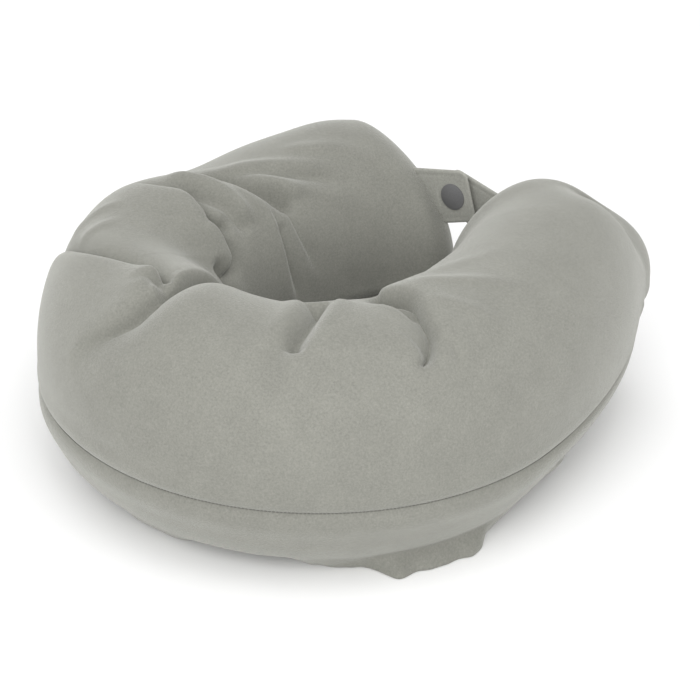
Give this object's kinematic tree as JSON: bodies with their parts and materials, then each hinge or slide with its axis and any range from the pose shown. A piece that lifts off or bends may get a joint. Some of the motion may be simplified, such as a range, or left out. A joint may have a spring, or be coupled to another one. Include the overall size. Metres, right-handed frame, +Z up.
{
  "type": "nursing pillow",
  "caption": "Stuffed horseshoe nursing pillow in a zipped velour cover, its two arm ends joined by short fabric tabs with a press snap.",
  "frame": {"origin": "middle of the plan's bounding box, on the surface the pillow rests on", "axes": "+Z up; +Y towards the mouth between the arm ends; the closed bend faces -Y; +X towards the arm whose tab carries the stud"},
  "size_m": [0.4608, 0.4808, 0.195],
  "materials": {
    "velour_top": "short-pile sage-grey velour",
    "velour_base": "short-pile sage-grey velour",
    "seam_thread": "polyester sewing thread",
    "seam_tape": "twill binding tape",
    "inner_case": "plain white cotton",
    "fibre": "polyester fibre fill",
    "zip_tape": "woven zip tape",
    "zip_teeth": "moulded",
    "zip_stops": "moulded",
    "zip_slider": "enamelled",
    "zip_pull": "enamelled",
    "label": "white satin, blank",
    "tab_velour": "short-pile sage-grey velour",
    "interfacing": "non-woven",
    "snap": "satin dark grey"
  },
  "bodies": {
    "pillow": {"cover_top_panel": "velour_top", "cover_base_panel": "velour_base", "cover_seam_thread": "seam_thread", "cover_seam_tape": "seam_tape", "inner_pillow_case": "inner_case", "fibre_filling": "fibre", "zip_tape_outer": "zip_tape", "zip_tape_inner": "zip_tape", "zip_teeth_outer": "zip_teeth", "zip_teeth_inner": "zip_teeth", "zip_end_stops": "zip_stops", "care_label": "label"},
    "left_tab": {"left_tab": "tab_velour", "left_tab_interfacing": "interfacing", "snap_cap": "snap", "snap_socket": "snap"},
    "right_tab": {"right_tab": "tab_velour", "right_tab_interfacing": "interfacing", "snap_stud": "snap", "snap_back_cap": "snap"},
    "zip_slider": {"zip_slider": "zip_slider"},
    "zip_pull": {"zip_pull": "zip_pull"}
  },
  "joints": [
    {"name": "left_tab_fold", "type": "hinge", "parent": "pillow", "child": "left_tab", "pos_m": [-0.03066, 0.173, 0.15], "axis": [-0.4466, 0, 0.8947], "range_deg": [-50, 0]},
    {"name": "right_tab_fold", "type": "hinge", "parent": "pillow", "child": "right_tab", "pos_m": [0.03288, 0.184, 0.15], "axis": [0.4466, 0, 0.8947], "range_deg": [-80, 0]},
    {"name": "zip_travel", "type": "hinge", "parent": "pillow", "child": "zip_slider", "pos_m": [0, -0.0104, 0.0094], "axis": [0, 0, 1], "range_deg": [-89, 0]},
    {"name": "pull_swing", "type": "hinge", "parent": "zip_slider", "child": "zip_pull", "pos_m": [0.10373, -0.11596, 0.0054], "axis": [0.7009, -0.7133, 0], "range_deg": [0, 100]}
  ]
}
